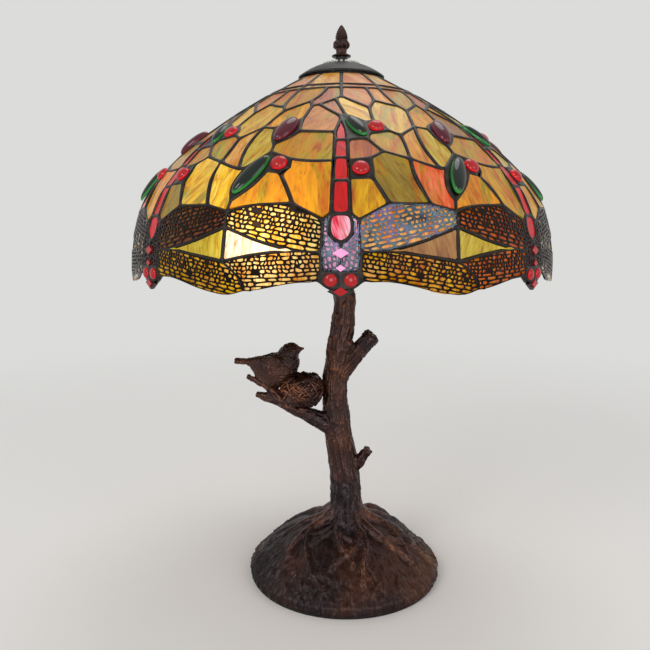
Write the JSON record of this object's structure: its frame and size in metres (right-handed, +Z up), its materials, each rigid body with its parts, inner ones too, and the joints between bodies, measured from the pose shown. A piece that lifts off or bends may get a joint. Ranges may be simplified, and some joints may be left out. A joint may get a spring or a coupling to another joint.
{
  "type": "stained glass table lamp",
  "caption": "Table lamp with a domed leaded-glass shade of dragonflies and cabochons, on a cast tree-trunk stand with a bird and nest.",
  "frame": {"origin": "on the lamp's axis at the underside of the felt", "axes": "+Z up the lamp's axis, -Y to the front where the middle dragonfly and the bird's right side face"},
  "size_m": [0.4121, 0.4107, 0.56],
  "materials": {
    "bronze_cast": "cast relief with a dark brown bronze patina",
    "felt": "pressed green felt",
    "zinc_steel": "zinc plated",
    "nut_brass": "plain turned",
    "grommet_rubber": "moulded matt",
    "antique_brass": "darkened satin",
    "liner_porcelain": "glazed",
    "bulb_glass": "frosted",
    "bulb_cap_metal": "rolled thread",
    "crown_glass": "streaky opalescent",
    "upper_glass": "streaky opalescent",
    "middle_glass": "streaky opalescent",
    "lower_glass": "streaky opalescent",
    "skirt_glass": "streaky opalescent",
    "gap_glass": "streaky opalescent",
    "spine_glass": "translucent red",
    "thorax_glass": "opalescent pink",
    "body_glass": "iridescent lilac",
    "wing_glass": "amber",
    "filigree_brass": "pierced, dark patina",
    "solder": "tin solder with black patina",
    "garnet_glass": "polished cabochon",
    "green_glass": "polished cabochon",
    "ruby_glass": "polished jewel"
  },
  "bodies": {
    "stand": {"felt_pad": "felt", "base_plate": "zinc_steel", "base_screws": "zinc_steel", "root_mound": "bronze_cast", "cord_grommet": "grommet_rubber", "lamp_pipe": "zinc_steel", "clamp_nut": "nut_brass", "clamp_washer": "zinc_steel", "lock_washer": "zinc_steel", "trunk": "bronze_cast", "stub_branch": "bronze_cast", "nest_branch": "bronze_cast", "nest": "bronze_cast", "nest_pin": "zinc_steel", "bird": "bronze_cast", "bird_legs": "bronze_cast", "trunk_collar": "antique_brass", "cluster_housing": "antique_brass", "cluster_lid": "antique_brass", "socket_shells": "antique_brass", "socket_liners": "liner_porcelain", "centre_contacts": "nut_brass", "riser_rod": "zinc_steel", "rod_coupling": "nut_brass", "rest_wheel": "antique_brass", "wheel_nuts": "nut_brass"},
    "shade": {"crown_ring": "antique_brass", "crown_glass": "crown_glass", "band_glass": "crown_glass", "upper_glass": "upper_glass", "middle_glass": "middle_glass", "lower_glass": "lower_glass", "skirt_glass": "skirt_glass", "gap_glass": "gap_glass", "spine_glass": "spine_glass", "thorax_glass": "thorax_glass", "body_glass": "body_glass", "upper_wing_glass": "wing_glass", "lower_wing_glass": "wing_glass", "wing_filigree": "filigree_brass", "upper_solder": "solder", "middle_solder": "solder", "skirt_solder": "solder", "body_solder": "solder", "wing_solder": "solder", "jewel_bezels": "solder", "garnet_cabochons": "garnet_glass", "green_cabochons": "green_glass", "red_jewels": "ruby_glass", "eye_jewels": "ruby_glass", "vent_cap": "antique_brass"},
    "front_bulb": {"bulb_front": "bulb_glass", "bulb_front_cap": "bulb_cap_metal"},
    "back_bulb": {"bulb_back": "bulb_glass", "bulb_back_cap": "bulb_cap_metal"},
    "finial_thread": {"finial_bush": "nut_brass"},
    "finial_knob": {"finial": "antique_brass"}
  },
  "joints": [
    {"name": "shade_turn", "type": "hinge", "parent": "stand", "child": "shade", "pos_m": [0, 0, 0.503], "axis": [0, 0, 1], "continuous": true},
    {"name": "front_bulb_out", "type": "slide", "parent": "stand", "child": "front_bulb", "axis": [-0.6209, -0.7399, 0.2588], "range_m": [0, 0.03]},
    {"name": "back_bulb_out", "type": "slide", "parent": "stand", "child": "back_bulb", "axis": [0.6209, 0.7399, 0.2588], "range_m": [0, 0.03]},
    {"name": "finial_lift", "type": "slide", "parent": "stand", "child": "finial_thread", "axis": [0, 0, 1], "range_m": [0, 0.011]},
    {"name": "finial_turn", "type": "hinge", "parent": "finial_thread", "child": "finial_knob", "pos_m": [0, 0, 0.54], "axis": [0, 0, 1], "range_deg": [0, 3962]}
  ],
  "couplings": [
    {"joint": "finial_turn", "follows": "finial_lift", "rad_per_m": 6283.2}
  ]
}
